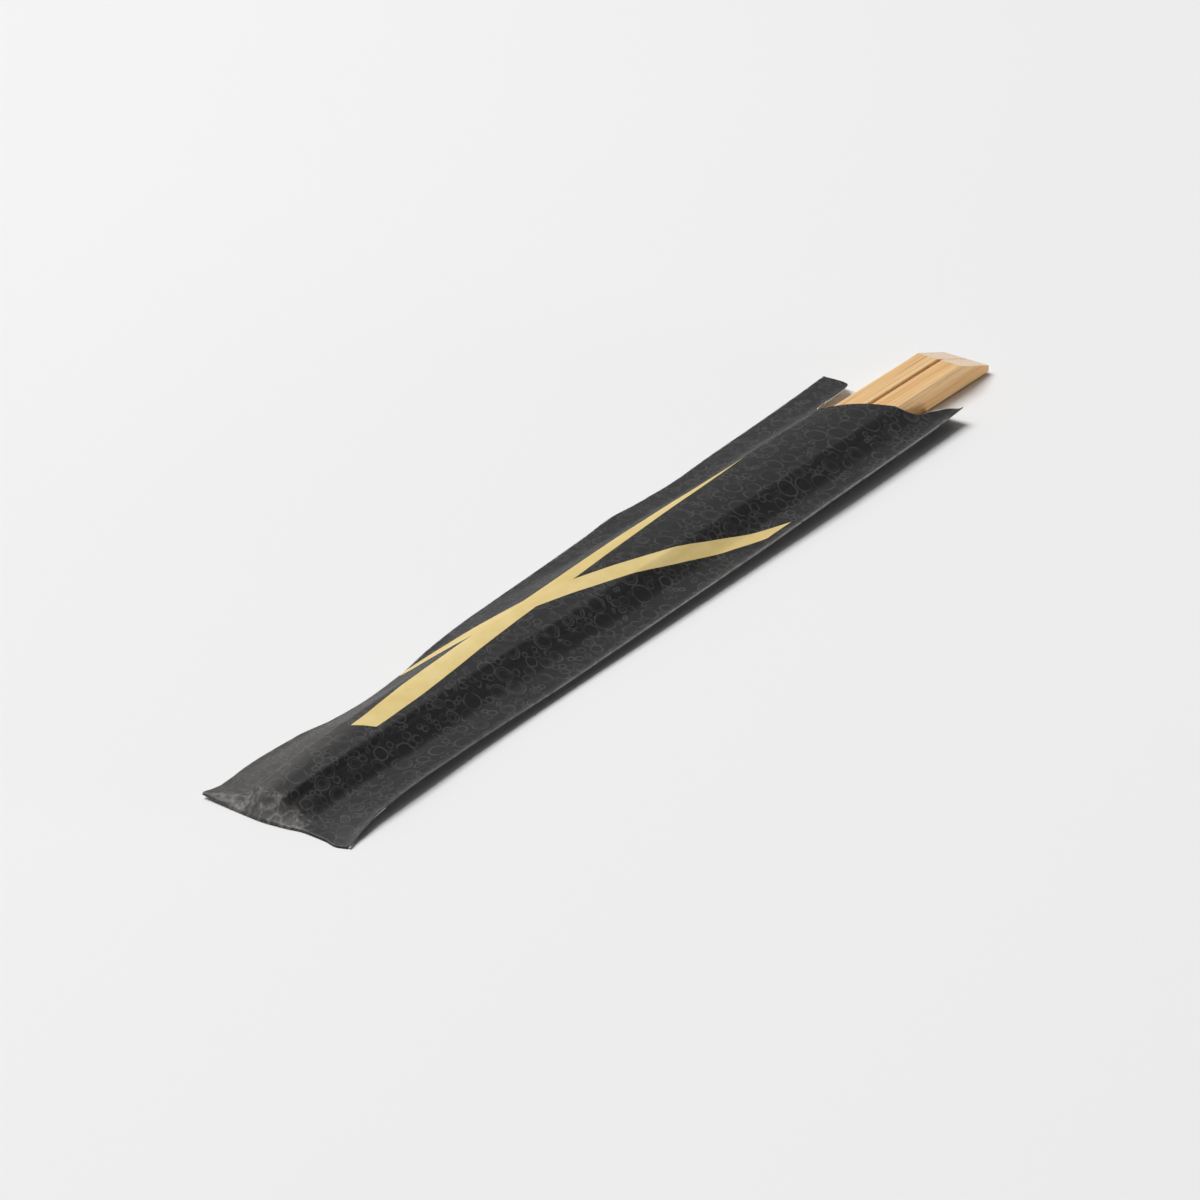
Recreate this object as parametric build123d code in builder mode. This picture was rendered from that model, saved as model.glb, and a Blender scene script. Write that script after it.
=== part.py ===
from build123d import *
import os
from math import atan2, cos, sin, tan

# A twin blank of disposable bamboo chopsticks, still joined at the heads, in a half-open paper
# sleeve. Millimetres and degrees, +Z up. The sleeve lies along X with its closed end at -X, the
# slanted heads stand out at +X, and the origin is the bottom centre of the whole.

os.makedirs("parts", exist_ok=True)

# ---- driving dimensions: the bamboo blank -------------------------------------------------------
stick_length = 210.0
blank_width = 10.2  # both sticks together, at the heads
stick_thickness = 5.0
tip_blank_width = 8.0  # both sticks together, at the eating ends
tip_thickness = 3.6
taper_length = 110.0  # how far from the tips the sticks keep growing
slit_width = 0.6  # saw cut that parts the two sticks
bridge_length = 13.0  # uncut bamboo that holds them together at the heads
edge_chamfer = 0.6  # along every long edge, so a V runs over the slit
head_slant_length = 9.8  # the slanted cut across the heads
head_blunt_height = 1.5  # square end left under the slanted cut

# ---- driving dimensions: the paper sleeve -------------------------------------------------------
sleeve_length = 191.0
sleeve_width = 30.0  # from fold to fold
paper = 0.12  # thickness of the sheet
fold_gap = 0.2  # inside height at a fold
lap_width = 10.0  # glued overlap along the middle of the back
flap_depth = 12.0  # end flap, folded under and glued to the back
closure_length = 2.4  # run of the steep end face over the tips
end_wall = 0.4  # layers of paper in the end fold
floor_margin = 6.0  # the back is flat except this far from each fold
near_fold_height = 2.2
near_fold_rise = 28.0  # length over which the near fold leaves the ground
mouth_near_fold_height = 2.5
far_fold_height = 1.5
near_corner_height = 0.4  # of the near fold, at the closed end
far_corner_height = 1.0

# ---- driving dimensions: the notch in the front panel ------------------------------------------
notch_far_margin = 5.0  # front panel left square beside the far fold
notch_depth = 18.5  # deepest point, from the mouth
notch_deep_margin = 10.5  # deepest point, from the far fold
notch_near_depth = 9.5  # where the slanted edge turns towards the near corner
notch_near_margin = 5.0
notch_radius = 2.5  # round corners of the cut

# ---- how the blank lies in the sleeve ----------------------------------------------------------
tip_gap = 2.9  # closed end to tips, along X
tip_margin = 1.9  # from the tips' far edge to the flat floor's far side
head_margin = 0.95  # from the blank's near edge to the flat floor's near side, at the mouth
side_clearance = 0.3  # paper to the sides of the sticks
top_clearance = 0.05  # paper to the top of the sticks

near_fold = -sleeve_width / 2
far_fold = sleeve_width / 2
floor = 2 * paper  # inside face of the back: the sheet itself and the lap layer under it

# The blank lies skewed across the flat floor: tips towards its far side, heads at its near side.
tips_y = far_fold - floor_margin - tip_margin - tip_blank_width / 2
mouth_y = near_fold + floor_margin + head_margin + blank_width / 2
skew = atan2(tips_y - mouth_y, sleeve_length - tip_gap)

overall_length = tip_gap + stick_length * cos(skew) + blank_width / 2 * sin(skew)
closed_end = -overall_length / 2
mouth = closed_end + sleeve_length
tips_x = closed_end + tip_gap


# ---- chopsticks: two tapering sticks, mirrored about the slit, and their bridge -----------------
def along_blank(distance):
    """Cross-section plane at a distance from the tips: its x runs across the blank, its y is up."""
    heading = Vector(cos(skew), -sin(skew), 0)
    sideways = Vector(sin(skew), cos(skew), 0)
    start = Vector(tips_x, tips_y, floor + stick_thickness / 2)
    return Plane(origin=start + heading * distance, x_dir=sideways, z_dir=heading)


def stick_section(half_width, thickness):
    """One stick's section, with its four edges chamfered, beside the slit."""
    width = half_width - slit_width / 2
    with Locations((slit_width / 2 + width / 2, 0)):
        section = Rectangle(width, thickness)
    chamfer(section.vertices(), length=edge_chamfer)


with BuildPart() as chopsticks:
    stations = (
        (0, tip_blank_width, tip_thickness),
        (taper_length, blank_width, stick_thickness),
        (stick_length, blank_width, stick_thickness),
    )
    for distance, width, thickness in stations:
        with BuildSketch(along_blank(distance)):
            stick_section(width / 2, thickness)
    loft(ruled=True)
    slit_plane = Plane(along_blank(0).origin, x_dir=along_blank(0).z_dir, z_dir=along_blank(0).x_dir)
    mirror(about=slit_plane)
    with BuildSketch(along_blank(stick_length - bridge_length)):
        Rectangle(slit_width, stick_thickness - 2 * edge_chamfer)
    extrude(amount=bridge_length)
    # The slanted cut across both heads, seen from the side.
    with BuildSketch(slit_plane):
        top = -stick_thickness / 2
        blunt = stick_thickness / 2 - head_blunt_height
        with BuildLine():
            Polyline(
                (stick_length - head_slant_length, top),
                (stick_length, blunt),
                (stick_length + 1, blunt),
                (stick_length + 1, top - 1),
                (stick_length - head_slant_length, top - 1),
                close=True,
            )
        make_face()
    extrude(amount=blank_width, both=True, mode=Mode.SUBTRACT)

chopsticks.part.label = "chopsticks"
export_step(chopsticks.part, "parts/chopsticks.step")


# ---- sleeve: a flat paper tube, tented over the blank, closed at one end ------------------------
def grown(x, at_tips, at_full):
    """A size of the blank at a place along the sleeve, between its tips and the end of its taper."""
    share = min(max((x - tips_x) / taper_length, 0), 1)
    return at_tips + (at_full - at_tips) * share


def tube_section(x, near_height, far_height, pressed_flat=False):
    """Inside outline of the tube across X, from the near fold round under the blank and back."""
    middle = tips_y - (x - tips_x) * tan(skew)
    half_width = grown(x, tip_blank_width, blank_width) / 2 + side_clearance
    near_edge, far_edge = middle - half_width, middle + half_width
    near, far = near_fold + paper, far_fold - paper
    near_foot, far_foot = near_fold + floor_margin, far_fold - floor_margin
    if pressed_flat:
        # The front lies on the back, which climbs from its flat middle to the far fold.
        climb = max(far_edge - far_foot, 0) / (far - far_foot) * (far_height - floor)
        near_crown, far_crown = floor + fold_gap, floor + fold_gap + climb
    else:
        blank_height = (stick_thickness + grown(x, tip_thickness, stick_thickness)) / 2
        near_crown = far_crown = floor + blank_height + top_clearance
    return [
        (near, near_height),
        (near_foot, floor),
        (far_foot, floor),
        (far, far_height),
        (far, far_height + fold_gap),
        (far_edge, far_crown),
        (near_edge, near_crown),
        (near, near_height + fold_gap),
    ]


def across(x):
    """Cross-section plane of the sleeve: its x runs along +Y, its y is up."""
    return Plane(origin=(x, 0, 0), x_dir=(0, 1, 0), z_dir=(1, 0, 0))


def fold_heights(x):
    """Height of the inside of the near and the far fold, at a place along the sleeve."""
    run = x - closed_end
    near = near_corner_height + (near_fold_height - near_corner_height) * min(run / near_fold_rise, 1)
    if run > taper_length:
        rise = (run - taper_length) / (sleeve_length - taper_length)
        near += (mouth_near_fold_height - near_fold_height) * rise
    far = far_corner_height + (far_fold_height - far_corner_height) * min(run / near_fold_rise, 1)
    return near, far


bends = [closed_end + near_fold_rise, closed_end + taper_length, mouth]

with BuildPart() as sleeve:
    # Outside of the tube, pressed flat at the closed end and rising at once over the tips.
    end_face = closed_end + closure_length
    for x in [closed_end, end_face] + bends:
        with BuildSketch(across(x)):
            with BuildLine():
                Polyline(*tube_section(x, *fold_heights(x), x == closed_end), close=True)
            make_face()
            offset(amount=paper, kind=Kind.INTERSECTION)
    loft(ruled=True)
    # End flap: the front sheet carried round the end and glued under the back.
    for x in (closed_end, closed_end + flap_depth):
        near_height, far_height = fold_heights(x)
        under = [
            (near_fold, near_height - paper),
            (near_fold + floor_margin, paper),
            (far_fold - floor_margin, paper),
            (far_fold, far_height - paper),
        ]
        with BuildSketch(across(x)):
            with BuildLine():
                lower = [(y, z - paper) for y, z in under]
                upper = [(y, z + paper / 2) for y, z in reversed(under)]
                Polyline(*lower, *upper, close=True)
            make_face()
    loft(ruled=True)
    # Lap layer: the sheet's two long edges overlap here.
    with BuildSketch(Plane.XY):
        with Locations((closed_end + sleeve_length / 2, 0)):
            Rectangle(sleeve_length, lap_width)
    extrude(amount=paper)
    # The hollow, from the end fold's layers to the mouth.
    hollow_start = closed_end + end_wall
    for x in [hollow_start, end_face + paper] + bends:
        with BuildSketch(across(x)):
            with BuildLine():
                Polyline(*tube_section(x, *fold_heights(x), x == hollow_start), close=True)
            make_face()
    loft(ruled=True, mode=Mode.SUBTRACT)
    # The notch takes only the front panel, which is all above the mouth's near fold here.
    with BuildSketch(Plane.XY.offset(mouth_near_fold_height + fold_gap / 2)):
        with BuildLine():
            Polyline(
                (mouth, near_fold),
                (mouth - notch_near_depth, near_fold + notch_near_margin),
                (mouth - notch_depth, far_fold - notch_deep_margin),
                (mouth, far_fold - notch_far_margin),
                (mouth + 1, far_fold - notch_far_margin),
                (mouth + 1, near_fold),
                close=True,
            )
        make_face()
        inner_corners = vertices().filter_by(lambda corner: corner.X < mouth - notch_near_depth / 2)
        fillet(inner_corners, radius=notch_radius)
    extrude(amount=2 * stick_thickness, mode=Mode.SUBTRACT)

sleeve.part.label = "sleeve"
export_step(sleeve.part, "parts/sleeve.step")
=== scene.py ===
import math

import bmesh
import bpy
from mathutils import Matrix, Vector, noise


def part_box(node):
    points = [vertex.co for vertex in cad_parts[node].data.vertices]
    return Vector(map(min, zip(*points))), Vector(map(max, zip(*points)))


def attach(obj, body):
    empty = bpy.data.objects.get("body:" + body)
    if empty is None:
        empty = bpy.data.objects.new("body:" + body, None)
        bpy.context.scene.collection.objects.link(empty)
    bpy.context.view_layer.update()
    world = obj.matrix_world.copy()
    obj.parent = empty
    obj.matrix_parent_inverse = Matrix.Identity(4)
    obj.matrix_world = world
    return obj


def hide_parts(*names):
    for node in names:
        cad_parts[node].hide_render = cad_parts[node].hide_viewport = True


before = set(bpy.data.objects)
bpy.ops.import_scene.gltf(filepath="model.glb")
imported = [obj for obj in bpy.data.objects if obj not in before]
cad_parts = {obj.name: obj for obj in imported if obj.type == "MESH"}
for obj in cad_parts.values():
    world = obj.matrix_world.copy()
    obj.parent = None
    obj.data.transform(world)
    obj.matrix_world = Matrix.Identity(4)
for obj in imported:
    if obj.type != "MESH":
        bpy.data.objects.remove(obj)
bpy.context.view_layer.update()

# A twin blank of disposable bamboo chopsticks in a half-open paper sleeve. The shapes below are
# worked out in millimetres on the sleeve's own axes: x from the closed end to the mouth, y from the
# near fold to the far fold, z up from the surface. place() turns them into the frame's metres.

MM = 0.001
SLEEVE_LOW, SLEEVE_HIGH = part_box("sleeve")
STICKS_LOW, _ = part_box("chopsticks")
LENGTH = (SLEEVE_HIGH.x - SLEEVE_LOW.x) / MM
WIDTH = (SLEEVE_HIGH.y - SLEEVE_LOW.y) / MM

# The paper.
PAPER = 0.11  # one layer
LAYER = 0.12  # one layer and the air over it
FOLD_RADIUS = 0.14
FLAP = 12.0  # folded back under the closed end
FLAP_INSET = 0.5  # the flap is narrower than the back panel by this on each side
CLEARANCE = 0.06  # air between the sticks and the sheet over them
CONTACT = 0.3  # height over which the sheet settles on the sticks

# The blank in the sleeve, as the CAD has it.
STICK_FLOOR = STICKS_LOW.z / MM
TIP_X, TIP_Y = 2.9, 18.1
SKEW = math.atan2(6.05, 188.1)  # the blank's turn towards the near side
BLANK_LENGTH = 210.0
TAPER = 110.0
TIP_WIDTH, HEAD_WIDTH = 8.0, 10.2
TIP_THICKNESS, HEAD_THICKNESS = 3.6, 5.0
SLIT = 0.45
EDGE = 0.6  # chamfer along the edges
BRIDGE = 13.0  # wood that still joins the heads
BRIDGE_INSET = 0.2  # from the sawn end
BRIDGE_BITE = 0.05  # into each stick
SLANT = 9.8
BLUNT = 1.5

# The eating ends are rounder, and thin towards the tips.
TIP_ROUNDING = 26.0
TIP_NARROWER, TIP_THINNER, TIP_LOWER = 0.55, 1.3, 0.45
TIP_CORNER = 0.75
TIP_CAP = 1.4  # the tips' ends are rounded off over this length
TIP_CAP_DEPTH = 0.75


def place(point):
    """A point in millimetres on the sleeve's axes, as a point of the frame in metres."""
    x, y, z = point
    return Vector((SLEEVE_LOW.x + x * MM, SLEEVE_LOW.y + y * MM, SLEEVE_LOW.z + z * MM))


# ---- smooth curves through a few values ---------------------------------------------------------
def between(first, second, share):
    return (1 - share) * first + share * second


def ease(start, end, value):
    """0 before start, 1 after end, and an S-curve between."""
    share = min(max((value - start) / (end - start), 0.0), 1.0)
    return share * share * (3 - 2 * share)


def curve_through(stops, at):
    """Value at a place on the monotone smooth curve through (place, value) stops."""
    if at <= stops[0][0]:
        return stops[0][1]
    if at >= stops[-1][0]:
        return stops[-1][1]
    last = len(stops) - 1
    for k in range(last):
        if at <= stops[k + 1][0]:
            break
    (x0, v0), (x1, v1) = stops[k], stops[k + 1]
    gap = x1 - x0
    rise = (v1 - v0) / gap

    def slope(index):
        if index <= 0 or index >= last:
            return rise
        (xa, va), (xb, vb), (xc, vc) = stops[index - 1 : index + 2]
        left, right = (vb - va) / (xb - xa), (vc - vb) / (xc - xb)
        if left * right <= 0:
            return 0.0
        steep, gentle = max(abs(left), abs(right)), min(abs(left), abs(right))
        return math.copysign(3 * left * right / (2 * steep + gentle), left)

    s0, s1 = slope(k), slope(k + 1)
    t = (at - x0) / gap
    return (
        v0 * (2 * t**3 - 3 * t**2 + 1)
        + s0 * gap * (t**3 - 2 * t**2 + t)
        + v1 * (-2 * t**3 + 3 * t**2)
        + s1 * gap * (t**3 - t**2)
    )


def rounded_path(points, steps):
    """Points on a Catmull-Rom curve through the given 2D points, steps to each span."""
    padded = [points[0]] + list(points) + [points[-1]]
    path = []
    for k in range(len(points) - 1):
        a, b, c, d = (Vector(p) for p in padded[k : k + 4])
        square = 2 * a - 5 * b + 4 * c - d
        cubic = 3 * b - a - 3 * c + d
        for step in range(steps):
            t = step / steps
            path.append(0.5 * (2 * b + (c - a) * t + square * t**2 + cubic * t**3))
    path.append(Vector(points[-1]))
    return path


def resampled(path, count):
    """count + 1 points evenly spaced along a path."""
    lengths = [0.0]
    for a, b in zip(path, path[1:]):
        lengths.append(lengths[-1] + (b - a).length)
    points, k = [], 0
    for step in range(count + 1):
        want = lengths[-1] * step / count
        while k < len(path) - 2 and lengths[k + 1] < want:
            k += 1
        share = (want - lengths[k]) / max(lengths[k + 1] - lengths[k], 1e-9)
        points.append(path[k].lerp(path[k + 1], min(max(share, 0), 1)))
    return points


# ---- where the blank lies ----------------------------------------------------------------------
def blank_middle(x):
    return TIP_Y - (x - TIP_X) * math.tan(SKEW)


def grown(distance, at_tips, at_full):
    return at_tips + (at_full - at_tips) * min(max(distance / TAPER, 0), 1)


def stick_size(distance):
    """Half width of the pair, thickness, height of its middle and corner radius at a distance
    from the tips."""
    droop = max(1 - max(distance, 0) / TIP_ROUNDING, 0) ** 2
    half = grown(distance, TIP_WIDTH, HEAD_WIDTH) / 2 - TIP_NARROWER * droop
    thickness = grown(distance, TIP_THICKNESS, HEAD_THICKNESS) - TIP_THINNER * droop
    centre = STICK_FLOOR + HEAD_THICKNESS / 2 - TIP_LOWER * droop
    round_by = 0.75 * EDGE + TIP_CORNER * (1 - ease(20, 100, distance))
    return half, thickness, centre, round_by


def stick_top(x, y):
    """Height of the sticks' top at a place, or 0 beside them."""
    if x < TIP_X:
        return 0.0
    half, thickness, centre, round_by = stick_size(x - TIP_X)
    off = abs(y - blank_middle(x)) - (half - round_by)
    if off >= round_by:
        return 0.0
    drop = round_by - math.sqrt(round_by**2 - max(off, 0) ** 2)
    return centre + thickness / 2 - drop


# ---- the front panel's outer surface -------------------------------------------------------------
# Lines along the sleeve as (x, value) stops: both folds, the foot of each slope as its distance in
# from the fold, the crown's height, and how far the shoulders lie below the crown.
NEAR_FOLD_Y = (
    (0, 0.0), (4, 0.7), (11, 1.4), (22, 1.6), (38, 1.7), (63, 1.2), (90, 0.5), (118, -0.1),
    (150, -0.7), (180, -0.9), (191, -0.8),
)
NEAR_FOLD_Z = (
    (0, 0.26), (2, 0.6), (6, 1.3), (12, 1.9), (21, 2.2), (37, 1.9), (63, 1.5), (90, 1.85),
    (118, 2.1), (150, 2.7), (180, 2.85), (191, 3.2),
)
FAR_FOLD_Y = (
    (0, 30.0), (4, 28.9), (12, 29.3), (24, 28.7), (32, 27.5), (41, 27.0), (51, 27.5), (61, 28.6),
    (74, 29.4), (95, 29.7), (118, 30.0), (139, 29.4), (152, 29.8), (191, 30.0),
)
FAR_FOLD_Z = (
    (0, 0.9), (12, 0.9), (24, 0.8), (36, 0.45), (50, 0.4), (64, 0.8), (95, 0.95), (110, 1.1),
    (118, 1.5), (127, 1.0), (140, 0.8), (165, 0.9), (182, 1.2), (191, 1.5),
)
NEAR_FOOT_Y = (
    (0, 8.8), (12, 8.0), (25, 6.9), (40, 6.0), (62, 5.2), (110, 4.6), (165, 3.8), (191, 2.6),
)
NEAR_FOOT_Z = (
    (0, 0.42), (8, 0.8), (20, 1.35), (40, 1.75), (63, 2.1), (110, 2.4), (150, 2.8), (191, 3.4),
)
FAR_FLANGE = ((0, 0.6), (24, 0.8), (50, 1.0), (76, 1.3), (100, 3.6), (120, 4.9), (191, 5.6))
FAR_FOOT_Z = (
    (0, 1.1), (24, 1.1), (50, 1.05), (76, 1.5), (100, 1.9), (118, 2.2), (140, 1.9), (191, 1.9),
)
CROWN_Z = (
    (0, 3.8), (4, 4.1), (12, 4.65), (28, 5.1), (60, 5.45), (110, 5.85), (150, 6.0), (175, 5.85),
    (191, 5.7),
)
FAR_SHOULDER_DROP = ((0, 1.7), (20, 1.0), (40, 0.55), (75, 0.5), (110, 0.45), (191, 0.4))
NEAR_SHOULDER_DROP = ((0, 1.5), (20, 1.1), (50, 0.85), (110, 0.7), (150, 0.85), (191, 0.5))


def front_profile(x):
    """The panel's outline across the sleeve at x, as (y, z) stops from fold to fold."""
    middle = blank_middle(x)
    half = stick_size(x - TIP_X)[0]
    near_y, near_z = curve_through(NEAR_FOLD_Y, x), curve_through(NEAR_FOLD_Z, x)
    far_y, far_z = curve_through(FAR_FOLD_Y, x), curve_through(FAR_FOLD_Z, x)
    foot_y, foot_z = near_y + curve_through(NEAR_FOOT_Y, x), curve_through(NEAR_FOOT_Z, x)
    flange_y, flange_z = far_y - curve_through(FAR_FLANGE, x), curve_through(FAR_FOOT_Z, x)
    top = curve_through(CROWN_Z, x)
    near_shoulder_y = middle - half
    near_shoulder_z = top - curve_through(NEAR_SHOULDER_DROP, x)
    far_shoulder_y = middle + half - 0.45 + 0.95 * ease(75, 110, x)
    far_shoulder_z = top - curve_through(FAR_SHOULDER_DROP, x)
    # The far slope hangs a little where it is wide.
    far_share = 0.5 + 0.03 * ease(60, 100, x)
    return (
        (near_y + FOLD_RADIUS, near_z + FOLD_RADIUS),
        (between(near_y, foot_y, 0.5), between(near_z, foot_z, 0.4)),
        (foot_y, foot_z),
        (between(foot_y, near_shoulder_y, 0.6), between(foot_z, near_shoulder_z, 0.55)),
        (near_shoulder_y, near_shoulder_z),
        (middle - 0.5 * half, between(top, near_shoulder_z, 0.35)),
        (middle, between(top, near_shoulder_z, 0.05)),
        (middle + 0.5 * half, between(top, far_shoulder_z, 0.2)),
        (far_shoulder_y, far_shoulder_z),
        (between(far_shoulder_y, flange_y, 0.5), between(far_shoulder_z, flange_z, far_share)),
        (flange_y, flange_z),
        (far_y - FOLD_RADIUS, far_z + FOLD_RADIUS),
    )


def wrinkle(x, y, size, seed):
    """Smooth noise of about -1 to 1."""
    return noise.noise(Vector((x / size, y / size, seed)))


def spread_height(x, y):
    """Height of the front panel's outside away from the closed end."""
    height = curve_through(front_profile(max(x, 0.0)), y)
    # Waves in the unsupported slopes, least where the sticks hold the sheet.
    support = ease(3.0, 5.2, height)
    waves = 0.16 * wrinkle(x, 1.4 * y, 21.0, 3.1) + 0.07 * wrinkle(x, y, 7.0, 8.4)
    height += waves * (1 - 0.75 * support) + 0.03 * wrinkle(x, y, 3.5, 1.7)
    # The sheet lies on the sticks and never cuts into them.
    held = stick_top(x, y) + PAPER + CLEARANCE
    over = (held - height + CONTACT) / CONTACT
    if over > 2:
        return held
    return height + 0.25 * CONTACT * max(over, 0) ** 2


# The closed end: where its fold runs and where its steep face ends, as (y, x) stops.
END_LINE = (
    (0.0, 1.1), (0.7, 0.25), (2.7, -0.3), (5.0, 0.2), (9.4, 0.4), (13.0, -0.25), (17.4, -0.7),
    (22.0, -0.45), (26.6, -0.1), (30.0, 0.1),
)
END_CREST = (
    (0.0, 0.35), (8.6, 0.4), (9.4, 0.8), (11.4, 4.3), (12.6, 3.9), (14.2, 2.7), (17.8, 2.4),
    (20.0, 1.9), (23.2, 1.5), (27.0, 0.8), (30.0, 0.5),
)
END_FOLD_HEIGHT = 0.38
FACE_BLEND = 1.6  # the face's crumples die out this far up, in face lengths


def front_height(x, y):
    """Height of the front panel's outside, its steep crumpled end face included."""
    height = spread_height(x, y)
    start, crest = curve_through(END_LINE, y), curve_through(END_CREST, y)
    share = max((x - start) / max(crest - start, 0.1), 0.0)
    if share >= FACE_BLEND:
        return height
    climb = 1.0
    if share < 1.2:
        climb = min(share - max(share - 0.8, 0) ** 2, 1.0)
    low = END_FOLD_HEIGHT + 0.14 * ease(8.5, 11.0, y)
    low += (curve_through(FAR_FOLD_Z, 0) - 0.4) * ease(24.0, 30.0, y)
    # The face is crumpled into small facets, but for its two sides.
    crumple = ease(8.5, 10.5, y) * (1 - ease(26.0, 29.0, y))
    crumple *= ease(0, 0.4, share) * (1 - ease(1.0, FACE_BLEND, share))
    folds = abs(wrinkle(x, y, 2.6, 5.5)) + 0.6 * abs(wrinkle(x, y, 1.4, 9.2))
    return low + (height - low) * climb + 0.4 * crumple * (0.45 - folds)


# The notch: the front panel's cut edge as (x, y), from the near corner to the far corner.
NOTCH_CORNERS = (
    (190.2, -0.66), (188.9, 1.2), (185.6, 2.8), (182.6, 3.9), (181.1, 6.0), (179.6, 9.2),
    (176.0, 14.6), (172.4, 18.2), (172.6, 19.9), (176.0, 21.2), (184.5, 22.3), (189.2, 23.5),
    (190.6, 25.4), (190.9, 29.85),
)


# ---- the sheet of the sleeve -------------------------------------------------------------------
FRONT_COLUMNS = 78
BESIDE_FOLDS = (FOLD_RADIUS, 0.3, 0.5, 0.75, 1.1)  # columns close together by each fold
NOTCH_FROM = 158.0  # from here on the rows gather towards the notch
NOTCH_ROWS = 44
FOLD_POINTS = 5
FOLD_TURN = 75.0  # degrees of a fold above and below its middle
FAR_RISE_REACH, FAR_RISE_POWER = 6.5, 1.7

# Places across the back: its inner layer from the free edge to the far fold, and its outer layer
# from the near fold to the other free edge. Places up to INNER_FIXED don't follow the far fold.
INNER_BACK = (10, 12, 14, 16, 18, 19.6, 20.4, 21.2, 22, 23, 24, 25, 26, 27, 28, 28.8, 29.4)
OUTER_BACK = (0.5, 1.0, 1.6, 2.3, 3.2, 4.2, 5.2, 6.2, 8, 10, 12, 14, 16, 18, 20)
INNER_FIXED = 24

# Stations of the flap, from its free edge to the closed end, and up the end's own fold.
FLAP_STATIONS = (FLAP, FLAP - 0.4, 9.0, 6.0, 3.5, 1.8, 0.8, 0.3)
END_SHARES = (0.12, 0.5, 0.88)


def back_height(x, y):
    """Height of the outside of the back: flat on the surface, and climbing to both folds."""
    over_flap = LAYER * (1 - ease(FLAP, FLAP + 4, x))
    near_climb = max(curve_through(NEAR_FOLD_Z, x) - FOLD_RADIUS - over_flap, 0)
    far_climb = max(curve_through(FAR_FOLD_Z, x) - FOLD_RADIUS - over_flap, 0)
    # By the mouth the near side lifts off the surface further in.
    mouth = ease(166, 186, x)
    near_reach, near_power = 2.6 + 5.2 * mouth, 1.4 - 0.6 * mouth
    near_share = max(1 - (y - curve_through(NEAR_FOLD_Y, x)) / near_reach, 0)
    far_share = max(1 - (curve_through(FAR_FOLD_Y, x) - y) / FAR_RISE_REACH, 0)
    return over_flap + near_climb * near_share**near_power + far_climb * far_share**FAR_RISE_POWER


def sheet_stations():
    """Stations along the sleeve, closest at the crumpled end, up to where the notch's rows start."""
    stations = [0.18 * k for k in range(1, 34)]
    while stations[-1] < 22:
        stations.append(stations[-1] + 0.5)
    while stations[-1] < NOTCH_FROM - 1:
        stations.append(stations[-1] + 1.0)
    stations[-1] = NOTCH_FROM
    return stations


def fold_points(x, y, z, side, first_v):
    """Points round a fold about its middle; side is 1 for the far fold and -1 for the near one."""
    points = []
    for k in range(FOLD_POINTS):
        angle = side * math.radians(2 * FOLD_TURN * k / (FOLD_POINTS - 1) - FOLD_TURN)
        own_y = y + side * FOLD_RADIUS * math.cos(angle)
        points.append((x, own_y, z + FOLD_RADIUS * math.sin(angle), first_v - 0.1 * k))
    return points


def section(x, station, front_points):
    """One row of the sheet: outside points from the inner free edge, over the far fold and the
    front, round the near fold and back under to the outer free edge. Each is (x, y, z, v)."""
    far_y, far_z = curve_through(FAR_FOLD_Y, station), curve_through(FAR_FOLD_Z, station)
    near_y, near_z = curve_through(NEAR_FOLD_Y, station), curve_through(NEAR_FOLD_Z, station)
    points = []
    # The inner layer steps down past the edge of the outer one.
    for y in INNER_BACK:
        own_y = y if y <= INNER_FIXED else far_y - (WIDTH - y)
        lift = LAYER * (1 - 0.85 * ease(20.0, 21.6, own_y))
        points.append((x, own_y, back_height(station, own_y) + lift, 2 * WIDTH - own_y))
    points += fold_points(x, far_y - FOLD_RADIUS, far_z, 1, WIDTH + 0.2)
    # Over the front, v goes by the length along it.
    front = list(reversed(front_points))
    runs = [0.0]
    for a, b in zip(front, front[1:]):
        runs.append(runs[-1] + math.hypot(b[1] - a[1], b[2] - a[2]))
    for point, run in zip(front, runs):
        points.append((*point, WIDTH * (1 - run / runs[-1])))
    points += fold_points(x, near_y + FOLD_RADIUS, near_z, -1, 0.0)
    for y in OUTER_BACK:
        own_y = y + near_y * (1 - ease(4, 8, y))
        points.append((x, own_y, back_height(station, own_y), -y))
    return points


def front_columns(near_y, far_y):
    """Places across the front panel, closer together beside the folds."""
    inset = BESIDE_FOLDS[-1]
    inner = FRONT_COLUMNS - 2 * (len(BESIDE_FOLDS) - 1)
    ys = [near_y + off for off in BESIDE_FOLDS[:-1]]
    for k in range(inner + 1):
        ys.append(near_y + inset + (far_y - near_y - 2 * inset) * k / inner)
    return ys + [far_y - off for off in reversed(BESIDE_FOLDS[:-1])]


def closed_rows():
    """Rows of the sheet from the closed end to the start of the notch's rows."""
    rows = []
    for x in sheet_stations():
        front = []
        for y in front_columns(curve_through(NEAR_FOLD_Y, x), curve_through(FAR_FOLD_Y, x)):
            # The first rows follow the end's own line.
            own_x = x + curve_through(END_LINE, y) * (1 - ease(0, 12, x))
            front.append((own_x, y, front_height(own_x, y)))
        rows.append(section(x + 0.35 * (1 - ease(0, 3, x)), x, front))
    return rows


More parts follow.
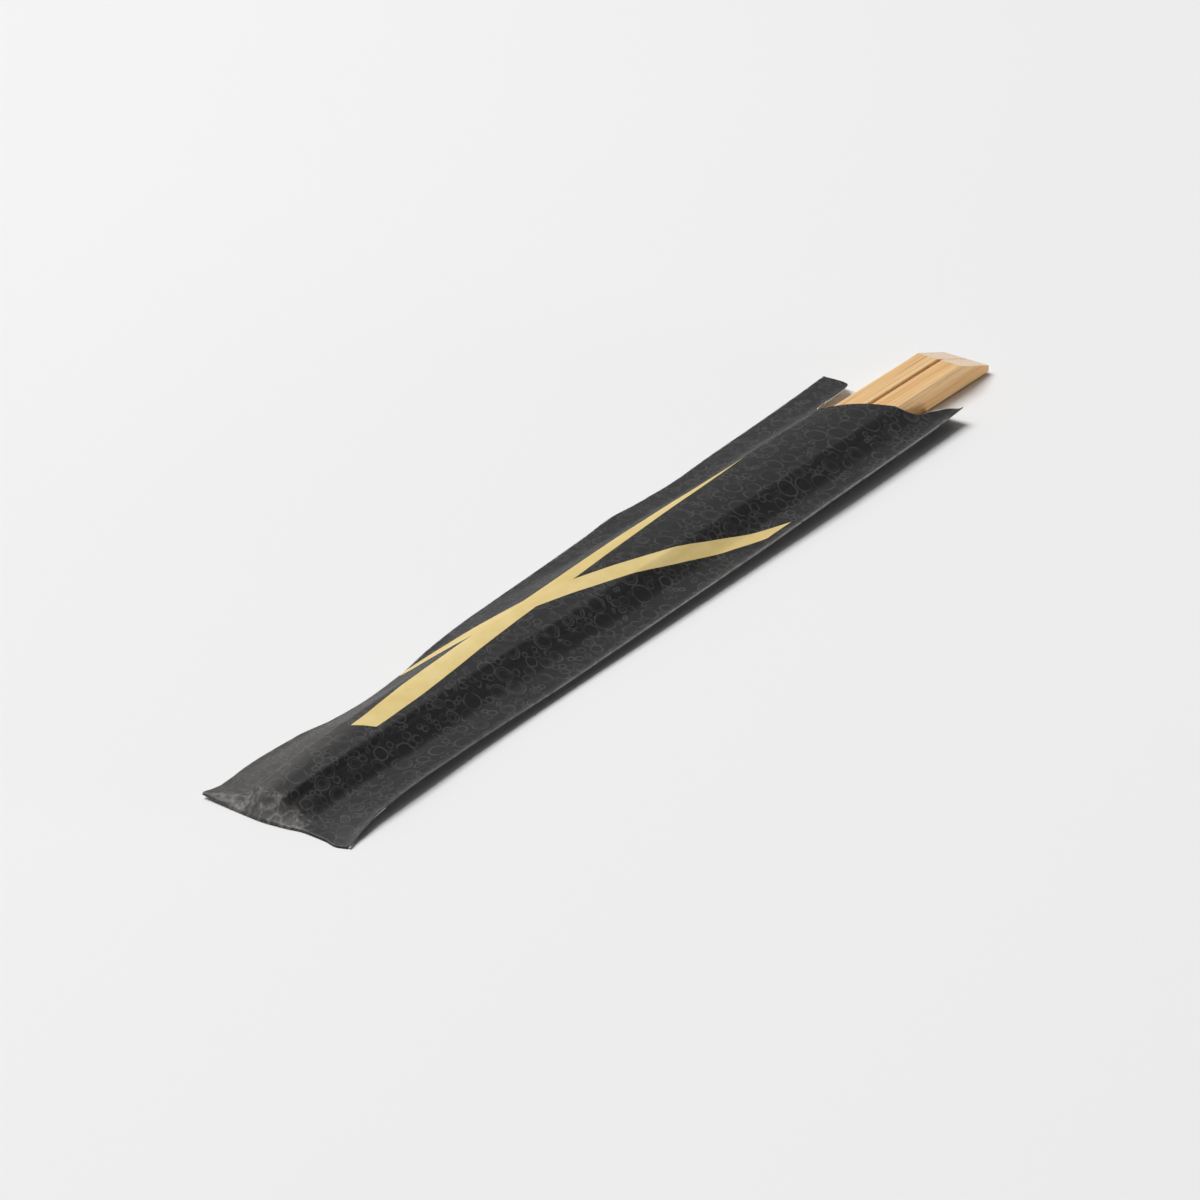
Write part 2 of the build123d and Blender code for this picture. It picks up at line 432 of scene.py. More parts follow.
def mouth_rows():
    """Rows of the sheet that gather towards the notch."""
    rows = []
    ys = front_columns(curve_through(NEAR_FOLD_Y, NOTCH_FROM), curve_through(FAR_FOLD_Y, NOTCH_FROM))
    edge = resampled(rounded_path(NOTCH_CORNERS, 10), len(ys) - 1)
    for k in range(1, NOTCH_ROWS + 1):
        share = k / NOTCH_ROWS
        x = between(NOTCH_FROM, LENGTH, share)
        low_y = curve_through(NEAR_FOLD_Y, x) + FOLD_RADIUS
        high_y = curve_through(FAR_FOLD_Y, x) - FOLD_RADIUS
        front = []
        for y, end in zip(ys, edge):
            # Columns keep their place first and gather along the notch later.
            own_y = min(max(between(y, end.y, share**2), low_y), high_y)
            own_x = between(NOTCH_FROM, end.x, share)
            front.append((own_x, own_y, front_height(own_x, own_y)))
        front[0] = (front[0][0], low_y, curve_through(NEAR_FOLD_Z, x) + FOLD_RADIUS)
        front[-1] = (front[-1][0], high_y, curve_through(FAR_FOLD_Z, x) + FOLD_RADIUS)
        rows.append(section(x, x, front))
    return rows


def flap_rows(columns):
    """The front's first row carried round the closed end and back under it, as (row, u) pairs
    from the flap's free edge to the end."""
    rows = []
    first_y, last_y = min(c[1] for c in columns), max(c[1] for c in columns)
    for under in FLAP_STATIONS:
        # The flap stays a little inside the back panel that it is glued to.
        inset = FLAP_INSET * min(under / 3, 1)
        near_y = first_y + curve_through(NEAR_FOLD_Y, under) - curve_through(NEAR_FOLD_Y, 0) + inset
        far_y = last_y + curve_through(FAR_FOLD_Y, under) - curve_through(FAR_FOLD_Y, 0) - inset
        row = []
        for _, y, _, v in columns:
            own_y = near_y + (far_y - near_y) * (y - first_y) / (last_y - first_y)
            height = back_height(under, own_y) - LAYER
            row.append((curve_through(END_LINE, y) + under, own_y, height, v))
        rows.append((row, -under))
    for share in END_SHARES:
        bow = 0.16 * (1 - (2 * share - 1) ** 2)
        row = []
        for _, y, z, v in columns:
            lifted = max(curve_through(FAR_FOLD_Z, 0) - 0.4, 0) * ease(24, 30, y)
            height = lifted + 0.9 * share * (z - lifted)
            row.append((curve_through(END_LINE, y) + 0.12 - bow, y, height, v))
        rows.append((row, 0.0))
    return rows


def link_mesh(name, data, materials):
    """A mesh as a new object in the scene."""
    for material in materials:
        data.materials.append(material)
    piece = bpy.data.objects.new(name, data)
    bpy.context.scene.collection.objects.link(piece)
    return piece


def sheet_mesh(points, faces, uvs):
    data = bpy.data.meshes.new("sleeve_sheet")
    data.from_pydata([place(p) for p in points], [], faces)
    layer = data.uv_layers.new(name="sheet")
    for loop in data.loops:
        layer.data[loop.index].uv = uvs[loop.vertex_index]
    for polygon in data.polygons:
        polygon.use_smooth = True
    return data


def build_sleeve(printed, core):
    rows = closed_rows() + mouth_rows()
    columns = len(rows[0])
    first_front = len(INNER_BACK) + FOLD_POINTS
    last_front = columns - len(OUTER_BACK) - FOLD_POINTS - 1
    points, uvs, faces = [], [], []
    for row in rows:
        for x, y, z, v in row:
            points.append((x, y, z))
            uvs.append((x, v))
    for r in range(len(rows) - 1):
        for c in range(columns - 1):
            a = r * columns + c
            faces.append((a, a + columns, a + columns + 1, a + 1))
    above = list(range(first_front, last_front + 1))
    for row, u in reversed(flap_rows(rows[0][first_front : last_front + 1])):
        here = list(range(len(points), len(points) + len(row)))
        for x, y, z, v in row:
            points.append((x, y, z))
            uvs.append((u, v))
        for c in range(len(row) - 1):
            faces.append((here[c], above[c], above[c + 1], here[c + 1]))
        above = here
    piece = link_mesh("sleeve_sheet", sheet_mesh(points, faces, uvs), (printed, core))
    crown = piece.data.polygons[len(rows) // 2 * (columns - 1) + (first_front + last_front) // 2]
    if crown.normal.z < 0:
        piece.data.flip_normals()
    # The paper's thickness goes inwards; its inside and its cut edges are the bare core.
    solid = piece.modifiers.new("thickness", "SOLIDIFY")
    solid.thickness = PAPER * MM
    solid.offset = -1
    solid.material_offset = 1
    solid.material_offset_rim = 1
    return piece


# ---- node materials -----------------------------------------------------------------------------
class Nodes:
    """Short calls for building one material's nodes."""

    def __init__(self, name):
        self.material = bpy.data.materials.new(name)
        self.material.use_nodes = True
        self.tree = self.material.node_tree
        self.shader = self.tree.nodes["Principled BSDF"]

    def add(self, kind, inputs=(), **settings):
        made = self.tree.nodes.new(kind)
        for key, value in settings.items():
            setattr(made, key, value)
        for socket, value in dict(inputs).items():
            self.feed(made.inputs[socket], value)
        return made

    def feed(self, socket, value):
        if isinstance(value, bpy.types.NodeSocket):
            self.tree.links.new(value, socket)
        else:
            socket.default_value = value

    def set(self, socket, value):
        """Gives a socket of the shader a value or a link."""
        self.feed(self.shader.inputs[socket], value)

    def uv(self, layer):
        return self.add("ShaderNodeUVMap", uv_map=layer).outputs[0]

    def math(self, operation, *values):
        return self.add("ShaderNodeMath", enumerate(values), operation=operation).outputs[0]

    def vector(self, operation, *values):
        return self.add("ShaderNodeVectorMath", enumerate(values), operation=operation).outputs[0]

    def split(self, vector):
        return self.add("ShaderNodeSeparateXYZ", {0: vector}).outputs

    def noise(self, at, scale, detail=3.0, roughness=0.5, output=0):
        inputs = {"Vector": at, "Scale": scale, "Detail": detail, "Roughness": roughness}
        return self.add("ShaderNodeTexNoise", inputs).outputs[output]

    def range(self, value, low, high, to_low=0.0, to_high=1.0):
        """A smooth step from to_low below low to to_high above high."""
        inputs = {"Value": value, "From Min": low, "From Max": high, "To Min": to_low, "To Max": to_high}
        return self.add("ShaderNodeMapRange", inputs, interpolation_type="SMOOTHSTEP").outputs[0]

    def stroke(self, off, solid, faded):
        """A line where off is 0: full within solid of it, and gone at faded."""
        return self.range(self.math("ABSOLUTE", off), solid, faded, 1.0, 0.0)

    def mix(self, factor, first, second):
        """A mix of two colours. The colour sockets of this node are known by number."""
        made = self.add("ShaderNodeMix", data_type="RGBA")
        self.feed(made.inputs["Factor"], factor)
        self.feed(made.inputs[6], first)
        self.feed(made.inputs[7], second)
        return made.outputs[2]

    def cells(self, at):
        """Scattered centres: what the nearest one gives, and the radius that is free round it."""
        inputs = {"Vector": at, "Scale": 1.0}
        settings = {"voronoi_dimensions": "2D"}
        nearest = self.add("ShaderNodeTexVoronoi", inputs, **settings)
        free = self.add("ShaderNodeTexVoronoi", inputs, feature="N_SPHERE_RADIUS", **settings)
        return nearest.outputs, free.outputs["Radius"]

    def finish(self, roughness, bump=None, strength=0.6):
        self.set("Roughness", roughness)
        if bump is not None:
            made = self.add("ShaderNodeBump", {"Height": bump, "Strength": strength, "Distance": MM})
            self.set("Normal", made.outputs[0])
        return self.material


def rgb(red, green, blue):
    """A colour given as display levels from 0 to 255."""

    def linear(level):
        level /= 255
        return level / 12.92 if level <= 0.04045 else ((level + 0.055) / 1.055) ** 2.4

    return (linear(red), linear(green), linear(blue), 1.0)


# ---- the printed paper --------------------------------------------------------------------------
LARGE_RING, SMALL_RING = 3.9, 1.85  # spacing of the rings
SMALL_RING_SHIFT = (31.0, 17.0, 0)
DARK_INK, PALE_INK = (0.0055, 0.0053, 0.0055, 1), (0.0095, 0.0091, 0.0094, 1)
RING_GREY = (0.075, 0.072, 0.073, 1)
# Warm grey painted on as the sheen of the light behind on the far slope (painted sheen).
SHEEN_GREY = (0.5, 0.46, 0.4, 1)
WORN_WHITE = (0.5, 0.49, 0.47, 1)
GOLD, PALE_GOLD = (0.765, 0.58, 0.22, 1), (0.83, 0.66, 0.3, 1)
GOLD_SPECK = (0.35, 0.26, 0.14, 1)

# Two plain tapering bars that cross, as corners (x, v) on the flattened front panel.
BAR_ONE = ((26.2, 19.2), (42.0, 21.2), (60.0, 21.4), (146.0, 19.2), (28.2, 15.4))
BAR_TWO = ((50.6, 29.4), (62.0, 21.8), (103.0, 8.6), (126.4, 1.5), (134.1, 1.45), (51.4, 30.4))


def inside_bar(n, u, v, corners):
    """1 inside a convex outline given in mm, softened over a tenth of a millimetre."""
    middle_u = sum(c[0] for c in corners) / len(corners)
    middle_v = sum(c[1] for c in corners) / len(corners)
    inside = None
    for (u0, v0), (u1, v1) in zip(corners, corners[1:] + corners[:1]):
        normal_u, normal_v = v1 - v0, u0 - u1
        size = math.hypot(normal_u, normal_v)
        normal_u, normal_v = normal_u / size, normal_v / size
        if (middle_u - u0) * normal_u + (middle_v - v0) * normal_v < 0:
            normal_u, normal_v = -normal_u, -normal_v
        offset = -(u0 * normal_u + v0 * normal_v)
        across = n.math("MULTIPLY_ADD", u, normal_u, n.math("MULTIPLY_ADD", v, normal_v, offset))
        inside = across if inside is None else n.math("MINIMUM", inside, across)
    return n.range(inside, -0.05, 0.05)


def large_rings(n, at):
    """Outlines of packed bubbles, some of them with a second line inside."""
    cell, radius = n.cells(n.vector("MULTIPLY", at, (1 / LARGE_RING, 1 / LARGE_RING, 0)))
    inset = n.math("SUBTRACT", n.math("SUBTRACT", radius, cell["Distance"]), 0.02)
    edge = n.math("MULTIPLY", inset, LARGE_RING)
    second = n.math("MULTIPLY", n.stroke(n.math("SUBTRACT", edge, 0.5), 0.06, 0.2), 0.6)
    double = n.math("GREATER_THAN", n.split(cell["Color"])[0], 0.45)
    return n.math("MAXIMUM", n.stroke(edge, 0.05, 0.24), n.math("MULTIPLY", second, double))


def small_rings(n, at):
    """Small bubbles in the gaps: each is drawn only where it clears the large ones."""
    shifted = n.vector("ADD", at, SMALL_RING_SHIFT)
    cell, radius = n.cells(n.vector("MULTIPLY", shifted, (1 / SMALL_RING, 1 / SMALL_RING, 0)))
    edge = n.math("MULTIPLY", n.math("SUBTRACT", radius, cell["Distance"]), SMALL_RING)
    centre = n.vector("MULTIPLY", cell["Position"], (SMALL_RING, SMALL_RING, 0))
    centre = n.vector("SUBTRACT", centre, SMALL_RING_SHIFT)
    large, large_radius = n.cells(n.vector("MULTIPLY", centre, (1 / LARGE_RING, 1 / LARGE_RING, 0)))
    outside = n.math("MULTIPLY", n.math("SUBTRACT", large["Distance"], large_radius), LARGE_RING)
    room = n.math("SUBTRACT", outside, n.math("MULTIPLY", radius, SMALL_RING))
    clear = n.math("GREATER_THAN", room, -0.25)
    return n.math("MULTIPLY", n.stroke(edge, 0.08, 0.22), clear)


def rings(n, flat):
    """The print's ring outlines, bent a little out of round."""
    wobble = n.vector("SUBTRACT", n.noise(flat, 0.35, 2.0, output="Color"), (0.5, 0.5, 0.5))
    bent = n.vector("ADD", flat, n.vector("MULTIPLY", wobble, (1.1, 1.1, 0)))
    return n.math("MAXIMUM", large_rings(n, bent), n.math("MULTIPLY", small_rings(n, bent), 0.85))


def worn_folds(n, u, v, rub_and_sheen):
    """Print rubbed off along the two folds: a thin line, and a soft band beside the near one."""
    along = n.math("MULTIPLY", n.range(u, 30, 110, 0.3, 0.55), n.range(u, 184, 187, 1.0, 0.2))
    line = n.math("MULTIPLY", n.stroke(n.math("SUBTRACT", v, -0.05), 0.05, 0.34), along)
    line = n.math("MULTIPLY", line, n.range(rub_and_sheen, 0.32, 0.55, 0.25, 0.8))
    soft = n.math("MULTIPLY", n.range(v, 0.0, 1.3, 0.09, 0.0), n.range(v, -0.6, -0.1))
    soft = n.math("MULTIPLY", soft, n.range(rub_and_sheen, 0.3, 0.6, 0.4, 1.0))
    far = n.math("MULTIPLY", n.stroke(n.math("SUBTRACT", v, WIDTH), 0.05, 0.3), 0.5)
    far = n.math("MULTIPLY", far, n.range(rub_and_sheen, 0.45, 0.62))
    return n.math("MAXIMUM", n.math("MAXIMUM", line, soft), far)


def worn_creases(n, flat, u, v):
    """Print cracked along the small creases of the crumpled end face."""
    shift = n.vector("MULTIPLY", n.noise(flat, 0.8, 2.0, output="Color"), (2.2, 2.2, 0))
    inputs = {"Vector": n.vector("ADD", flat, shift), "Scale": 0.42}
    settings = {"voronoi_dimensions": "2D", "feature": "DISTANCE_TO_EDGE"}
    cracks = n.add("ShaderNodeTexVoronoi", inputs, **settings).outputs["Distance"]
    cracked = n.math("MULTIPLY", n.range(cracks, 0.0, 0.2, 1.0, 0.0), n.range(u, 2.4, 4.4, 1.0, 0.0))
    sides = n.math("MULTIPLY", n.range(v, 8.2, 9.6), n.range(v, 24.0, 28.0, 1.0, 0.0))
    cracked = n.math("MULTIPLY", cracked, sides)
    broken = n.range(n.noise(flat, 1.3), 0.4, 0.6, 0.2, 1.0)
    return n.math("MULTIPLY", n.math("MULTIPLY", cracked, broken), 0.24)


def painted_sheen(n, u, v, rub_and_sheen):
    """Painted sheen: a warm grey over the far slope by the closed end and on its steep face, painted in
    for the reflection of the light behind.
    """
    slope = n.math("MULTIPLY", n.range(u, 10, 55, 0.1, 0.0), n.range(v, 16.0, 20.5))
    face = n.math("MULTIPLY", n.range(u, 2.2, 4.4, 0.07, 0.0), n.range(v, 8.5, 10.5))
    return n.math("MULTIPLY", n.math("MAXIMUM", slope, face), n.range(rub_and_sheen, 0.3, 0.7, 0.75, 1.1))


def printed_paper():
    n = Nodes("printed_paper")
    flat = n.uv("sheet")
    u, v, _ = n.split(flat)
    patchy = n.noise(flat, 0.12, 4.0, 0.6)
    mottle = n.noise(flat, 1.6, 4.0, 0.65)
    grain = n.noise(flat, 9.0, 3.0, 0.6)
    # Stretched noise that breaks up both the worn fold lines and the painted sheen.
    rub_and_sheen = n.noise(n.vector("MULTIPLY", flat, (0.5, 2.0, 1.0)), 1.0, 4.0, 0.7)
    ring_lines = rings(n, flat)
    black = n.mix(n.math("MULTIPLY", n.math("ADD", patchy, mottle), 0.5), DARK_INK, PALE_INK)
    ring_tone = n.math("MULTIPLY", n.range(n.noise(flat, 0.35), 0.36, 0.6, 0.25, 1.0), 0.64)
    colour = n.mix(n.math("MULTIPLY", ring_lines, ring_tone), black, RING_GREY)
    # Painted sheen: warm grey over the far slope and the steep face by the closed end.
    colour = n.mix(painted_sheen(n, u, v, rub_and_sheen), colour, SHEEN_GREY)
    worn = n.math("MAXIMUM", worn_folds(n, u, v, rub_and_sheen), worn_creases(n, flat, u, v))
    colour = n.mix(worn, colour, WORN_WHITE)
    # The crossed bars in pale gold.
    bars = n.math("MAXIMUM", inside_bar(n, u, v, BAR_ONE), inside_bar(n, u, v, BAR_TWO))
    gold = n.mix(n.range(patchy, 0.3, 0.7), GOLD, PALE_GOLD)
    gold = n.mix(n.math("MULTIPLY", n.range(grain, 0.62, 0.72), 0.35), gold, GOLD_SPECK)
    n.set("Base Color", n.mix(bars, colour, gold))
    n.set("Metallic", n.math("MULTIPLY", bars, 0.25))
    n.set("Specular IOR Level", 0.5)
    rough = n.math("ADD", n.range(mottle, 0.3, 0.7, 0.4, 0.56), n.math("MULTIPLY", grain, 0.08))
    fibres = n.noise(n.vector("MULTIPLY", flat, (0.6, 1.0, 1.0)), 4.0, 5.0, 0.65)
    bump = n.math("ADD", n.math("MULTIPLY", fibres, 0.03), n.math("MULTIPLY", ring_lines, 0.004))
    return n.finish(rough, bump)


def paper_core():
    """The bare white paper of the inside and the cut edges."""
    n = Nodes("paper_core")
    fibres = n.noise(n.vector("MULTIPLY", n.uv("sheet"), (0.5, 1.4, 1.0)), 3.0, 6.0, 0.7)
    colour = n.mix(n.range(fibres, 0.3, 0.7), (0.8, 0.78, 0.75, 1), (0.9, 0.89, 0.87, 1))
    n.set("Base Color", colour)
    rough = n.range(fibres, 0.2, 0.8, 0.75, 0.9)
    return n.finish(rough, n.math("MULTIPLY", fibres, 0.05), 0.5)


# ---- the bamboo ---------------------------------------------------------------------------------
def bamboo():
    """Long grain: broad bands, fine fibres and a few darker lines along the sticks."""
    n = Nodes("bamboo")
    flat = n.uv("stick")
    broad = n.noise(n.vector("MULTIPLY", flat, (0.012, 1.0, 1.0)), 0.55, 3.0, 0.55)
    fine = n.noise(n.vector("MULTIPLY", flat, (0.02, 1.0, 1.0)), 4.5, 5.0, 0.7)
    lines = n.noise(n.vector("MULTIPLY", flat, (0.006, 1.0, 1.0)), 3.6, 2.0, 0.5)
    colour = n.mix(n.range(broad, 0.32, 0.68), rgb(228, 180, 119), rgb(239, 202, 150))
    colour = n.mix(n.math("MULTIPLY", n.range(fine, 0.45, 0.7), 0.35), colour, rgb(196, 142, 86))
    colour = n.mix(n.math("MULTIPLY", n.range(lines, 0.56, 0.64), 0.5), colour, rgb(158, 100, 52))
    n.set("Base Color", colour)
    n.set("Specular IOR Level", 0.35)
    bump = n.math("ADD", n.math("MULTIPLY", fine, 0.06), n.math("MULTIPLY", lines, -0.05))
    return n.finish(n.range(fine, 0.2, 0.8, 0.45, 0.62), bump)


def bamboo_end():
    """End grain: paler, with the dots of cut fibre bundles."""
    n = Nodes("bamboo_end")
    flat = n.uv("stick")
    spots = n.add("ShaderNodeTexVoronoi", {"Vector": flat, "Scale": 3.0}, voronoi_dimensions="2D")
    dots = n.range(spots.outputs["Distance"], 0.16, 0.34, 1.0, 0.0)
    colour = n.mix(n.noise(flat, 1.5, 4.0, 0.6), rgb(228, 204, 176), rgb(240, 221, 200))
    colour = n.mix(n.math("MULTIPLY", dots, 0.26), colour, rgb(168, 128, 88))
    n.set("Base Color", colour)
    return n.finish(0.75, n.math("MULTIPLY", dots, -0.05))


# ---- the twin blank -----------------------------------------------------------------------------
CORNER_POINTS = 5
FLAT_STEPS = 4
WELD = 0.004  # points nearer than this are one


def stick_stations():
    """Distances from the tips at which a stick's section is drawn."""
    near = [0.0, 0.15, 0.4, 0.8, 1.4, 2.4, 4.0, 6.0, 9.0, 13.0, 18.0, 24.0, 32.0]
    return near + [40.0 + 10 * k for k in range(15)] + [190.0 + 2.0 * k for k in range(11)]


def on_blank(distance, sideways, z):
    """A point at a distance from the tips and to the side of the slit, on the sleeve's axes."""
    x = TIP_X + distance * math.cos(SKEW) + sideways * math.sin(SKEW)
    y = TIP_Y - distance * math.sin(SKEW) + sideways * math.cos(SKEW)
    return x, y, z


def to_blank(co):
    """Distance from the tips, sideways place and height of a point of the frame, in mm."""
    x = (co.x - SLEEVE_LOW.x) / MM - TIP_X
    y = (co.y - SLEEVE_LOW.y) / MM - TIP_Y
    z = (co.z - SLEEVE_LOW.z) / MM
    return x * math.cos(SKEW) - y * math.sin(SKEW), x * math.sin(SKEW) + y * math.cos(SKEW), z


def around(sideways, z, side):
    """A coordinate that runs over the top and down the sides, for the grain."""
    return sideways + side * 0.9 * z


def stick_outline(inner, outer, thickness, round_by):
    """A stick's section as (sideways, z) points: rounded corners, and the same number of points
    along each flat at every station."""
    high, low = thickness / 2 - round_by, -thickness / 2 + round_by
    corners = (
        (inner + round_by, high, 180), (outer - round_by, high, 90),
        (outer - round_by, low, 0), (inner + round_by, low, -90),
    )
    points = []
    for y, z, start in corners:
        for k in range(CORNER_POINTS):
            angle = math.radians(start - 90 * k / (CORNER_POINTS - 1))
            points.append((y + round_by * math.cos(angle), z + round_by * math.sin(angle)))
    outline = []
    for k, (a, b) in enumerate(zip(points, points[1:] + points[:1])):
        steps = FLAT_STEPS if k % CORNER_POINTS == CORNER_POINTS - 1 else 1
        for step in range(steps):
            share = step / steps
            outline.append((between(a[0], b[0], share), between(a[1], b[1], share)))
    return outline


def stick_row(mesh, side, distance):
    """The vertices of a stick's section at a distance from the tips."""
    half, thickness, centre, round_by = stick_size(distance)
    cap = TIP_CAP_DEPTH * max(1 - distance / TIP_CAP, 0) ** 2
    inner, outer = SLIT / 2 + 0.4 * cap, half - cap
    thickness -= 1.4 * cap
    round_by = min(round_by, (outer - inner) / 2 - 0.05, thickness / 2 - 0.05)
    outline = stick_outline(inner, outer, thickness, round_by)
    return [mesh.verts.new(place(on_blank(distance, side * y, centre + z))) for y, z in outline]


def head_planes():
    """The slanted sawn face across the head and the blunt one below it, as (point, normal)."""
    top_start = place(on_blank(BLANK_LENGTH - SLANT, 0, STICK_FLOOR + HEAD_THICKNESS))
    low_end = place(on_blank(BLANK_LENGTH, 0, STICK_FLOOR + BLUNT))
    across = Vector((math.sin(SKEW), math.cos(SKEW), 0))
    slanted = (low_end - top_start).normalized().cross(across)
    if slanted.z < 0:
        slanted = -slanted
    heading = Vector((math.cos(SKEW), -math.sin(SKEW), 0))
    return (top_start, slanted), (low_end, heading)


def saw_head(mesh):
    """Cuts the head off at both planes and closes each cut with a face."""
    for origin, direction in head_planes():
        everything = mesh.verts[:] + mesh.edges[:] + mesh.faces[:]
        cut = bmesh.ops.bisect_plane(
            mesh, geom=everything, plane_co=origin, plane_no=direction, clear_outer=True
        )
        rim = [e for e in cut["geom_cut"] if isinstance(e, bmesh.types.BMEdge)]
        bmesh.ops.contextual_create(mesh, geom=rim)


def finish_stick(mesh, layer, side):
    """Gives each face its material and UVs: end grain on the sawn faces, long grain elsewhere."""
    (top_start, slanted), (_, heading) = head_planes()
    for face in mesh.faces:
        face.smooth = True
        on_head = face.calc_center_median().x > top_start.x
        sawn = abs(face.normal.dot(slanted)) > 0.98 and on_head
        sawn = sawn or abs(face.normal.dot(heading)) > 0.9
        face.material_index = 1 if sawn else 0
        for loop in face.loops:
            distance, sideways, z = to_blank(loop.vert.co)
            loop[layer].uv = (sideways, z) if sawn else (distance, around(sideways, z, side))
    for edge in mesh.edges:
        edge.smooth = len({face.material_index for face in edge.link_faces}) == 1


def linked(name, mesh, materials):
    """A finished bmesh as a new object in the scene."""
    data = bpy.data.meshes.new(name)
    mesh.to_mesh(data)
    mesh.free()
    return link_mesh(name, data, materials)


def build_stick(name, side, wood, end_wood):
    mesh = bmesh.new()
    layer = mesh.loops.layers.uv.new("stick")
    rows = [stick_row(mesh, side, distance) for distance in stick_stations()]
    count = len(rows[0])
    for a, b in zip(rows, rows[1:]):
        for k in range(count):
            after = (k + 1) % count
            mesh.faces.new((a[k], b[k], b[after], a[after]))
    mesh.faces.new(rows[0])
    mesh.faces.new(list(reversed(rows[-1])))
    saw_head(mesh)
    bmesh.ops.remove_doubles(mesh, verts=mesh.verts[:], dist=WELD * MM)
    bmesh.ops.recalc_face_normals(mesh, faces=mesh.faces[:])
    finish_stick(mesh, layer, side)
    piece = linked(name, mesh, (wood, end_wood))
    flats = piece.modifiers.new("flats", "WEIGHTED_NORMAL")
    flats.keep_sharp = True
    return piece


def build_bridge(wood):
    """The uncut wood that joins the two heads, inside the slit."""
    mesh = bmesh.new()
    layer = mesh.loops.layers.uv.new("stick")
    low, high = STICK_FLOOR + EDGE, STICK_FLOOR + HEAD_THICKNESS - EDGE
    start, end = BLANK_LENGTH - BRIDGE, BLANK_LENGTH - BRIDGE_INSET
    # The outline stays just under the slanted face.
    turn = BLANK_LENGTH - SLANT + EDGE * SLANT / (HEAD_THICKNESS - BLUNT)
    outline = ((start, low), (start, high), (turn, high), (end, STICK_FLOOR + BLUNT + 0.1), (end, low))
    half = SLIT / 2 + BRIDGE_BITE
    near, far = (
        [mesh.verts.new(place(on_blank(distance, sideways, z))) for distance, z in outline]
        for sideways in (-half, half)
    )
    for k in range(len(outline)):
        after = (k + 1) % len(outline)
        mesh.faces.new((near[k], near[after], far[after], far[k]))
    mesh.faces.new(list(reversed(near)))
    mesh.faces.new(far)
    bmesh.ops.recalc_face_normals(mesh, faces=mesh.faces[:])
    for face in mesh.faces:
        for loop in face.loops:
            distance, sideways, z = to_blank(loop.vert.co)
            loop[layer].uv = (distance, around(sideways, z, 1))
    return linked("stick_bridge", mesh, (wood,))


# ---- floor, light and camera --------------------------------------------------------------------
FLOOR_HALF = 2.5
FRONT_WALL, BACK_WALL = 0.03, 0.42
AZIMUTH, ELEVATION = math.radians(-55.7), math.radians(27.8)
DISTANCE = 0.876
LOOK_AT = Vector((-0.0127, 0.0003, 0.0))


def build_floor():
    data = bpy.data.meshes.new("floor")
    signs = ((-1, -1), (1, -1), (1, 1), (-1, 1))
    data.from_pydata([(FLOOR_HALF * x, FLOOR_HALF * y, 0) for x, y in signs], [], [(0, 1, 2, 3)])
    n = Nodes("floor")
    at = n.add("ShaderNodeTexCoord").outputs["Object"]
    n.set("Base Color", n.mix(n.noise(at, 3.0, 2.0), (0.86, 0.86, 0.86, 1), (0.88, 0.88, 0.88, 1)))
    n.set("Specular IOR Level", 0.2)
    return link_mesh("floor", data, (n.finish(0.8),))


def area_light(name, place_at, look_at, width, height, power):
    data = bpy.data.lights.new(name, "AREA")
    data.shape = "RECTANGLE"
    data.size = width
    data.size_y = height
    data.energy = power
    lamp = bpy.data.objects.new(name, data)
    lamp.location = place_at
    aim = Vector(look_at) - Vector(place_at)
    lamp.rotation_euler = aim.to_track_quat("-Z", "Y").to_euler()
    bpy.context.scene.collection.objects.link(lamp)


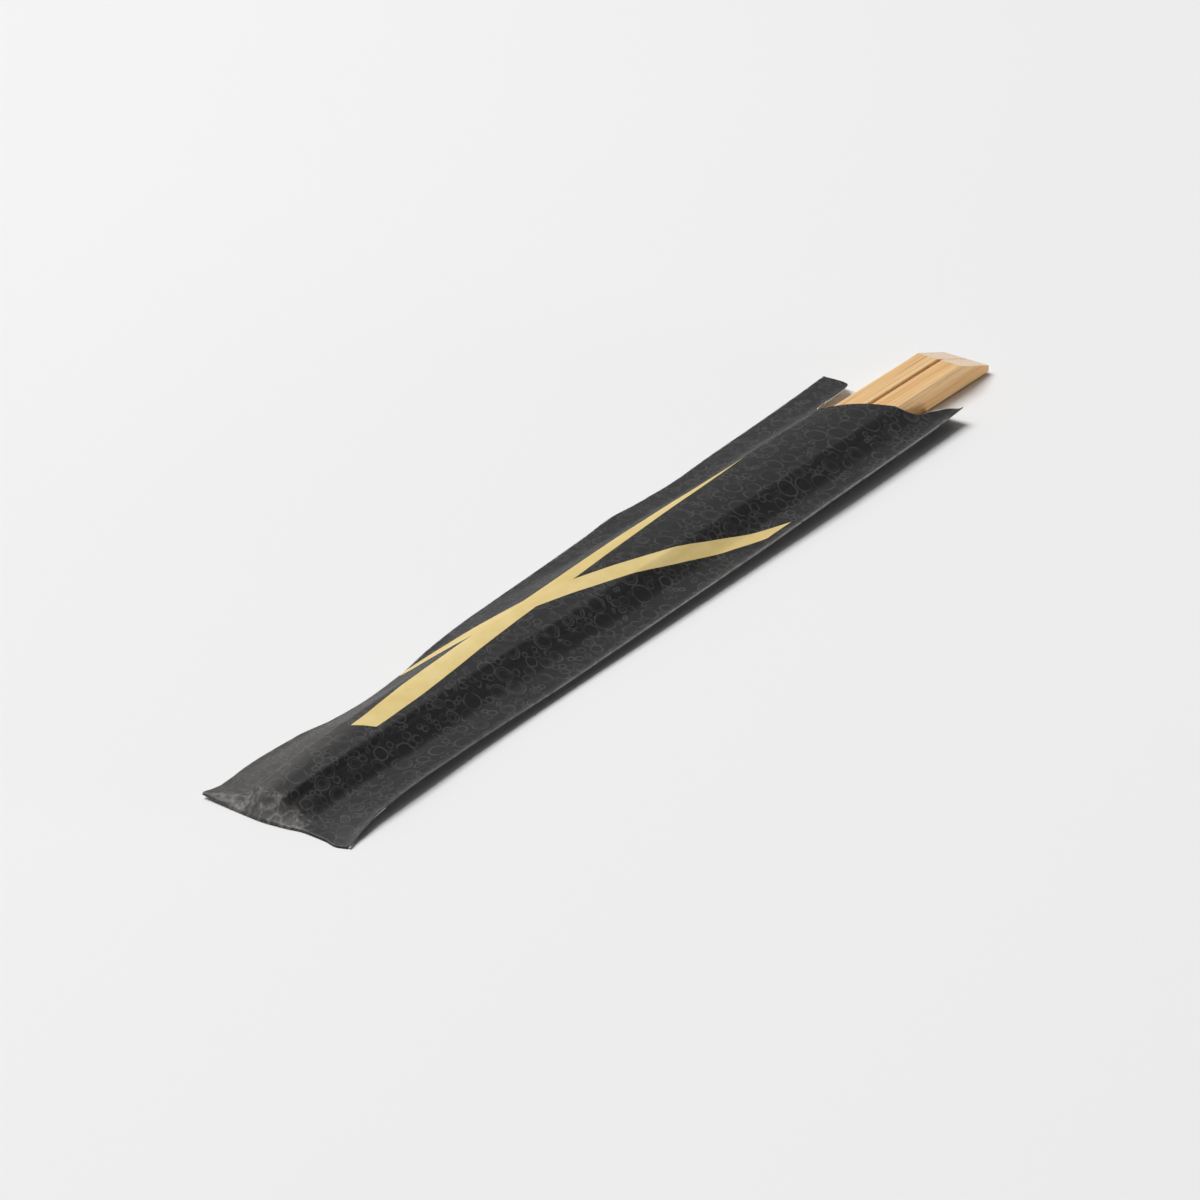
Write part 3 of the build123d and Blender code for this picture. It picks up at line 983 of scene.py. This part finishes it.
def build_world():
    """A white surround that is paler behind the table and above it than in front."""
    world = bpy.data.worlds.new("studio")
    bpy.context.scene.world = world
    world.use_nodes = True
    nodes, links = world.node_tree.nodes, world.node_tree.links
    direction = nodes.new("ShaderNodeTexCoord")
    parts = nodes.new("ShaderNodeSeparateXYZ")
    raised = nodes.new("ShaderNodeMath")
    raised.operation = "MULTIPLY_ADD"
    raised.inputs[1].default_value = 0.8
    fade = nodes.new("ShaderNodeMapRange")
    fade.interpolation_type = "SMOOTHSTEP"
    spans = {"From Min": 0.05, "From Max": 1.1, "To Min": FRONT_WALL, "To Max": BACK_WALL}
    for socket, value in spans.items():
        fade.inputs[socket].default_value = value
    background = nodes["Background"]
    background.inputs["Color"].default_value = (1.0, 1.0, 1.0, 1)
    links.new(direction.outputs["Generated"], parts.inputs[0])
    links.new(parts.outputs["Z"], raised.inputs[0])
    links.new(parts.outputs["Y"], raised.inputs[2])
    links.new(raised.outputs[0], fade.inputs["Value"])
    links.new(fade.outputs[0], background.inputs["Strength"])


def build_light():
    build_world()
    area_light("key", (-0.3, 1.5, 2.8), (0, 0, 0), 1.9, 1.9, 96.0)
    # A low card in front lifts the sticks' near side and hardly reaches the floor.
    area_light("low_card", (0.5, -1.5, 0.06), (0, 0, 0.003), 0.8, 0.09, 8.0)


def build_camera():
    data = bpy.data.cameras.new("camera")
    data.lens = 150.0
    data.sensor_width = 36.0
    data.clip_start = 0.01
    camera = bpy.data.objects.new("camera", data)
    level = math.cos(ELEVATION)
    back = Vector((math.sin(AZIMUTH) * level, -math.cos(AZIMUTH) * level, math.sin(ELEVATION)))
    right = Vector((math.cos(AZIMUTH), math.sin(AZIMUTH), 0))
    turn = Matrix((right, back.cross(right), back)).transposed().to_4x4()
    camera.matrix_world = Matrix.Translation(LOOK_AT + back * DISTANCE) @ turn
    bpy.context.scene.collection.objects.link(camera)
    bpy.context.scene.camera = camera


build_camera()
build_light()
bpy.context.scene.view_settings.view_transform = "Standard"
build_floor()

sheet = build_sleeve(printed_paper(), paper_core())
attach(sheet, "root")
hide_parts("sleeve")

wood, end_wood = bamboo(), bamboo_end()
near_stick = build_stick("near_stick", -1, wood, end_wood)
far_stick = build_stick("far_stick", 1, wood, end_wood)
bridge = build_bridge(wood)
for piece in (near_stick, far_stick, bridge):
    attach(piece, "root")
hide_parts("chopsticks")
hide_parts("chopsticks")
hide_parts("chopsticks")
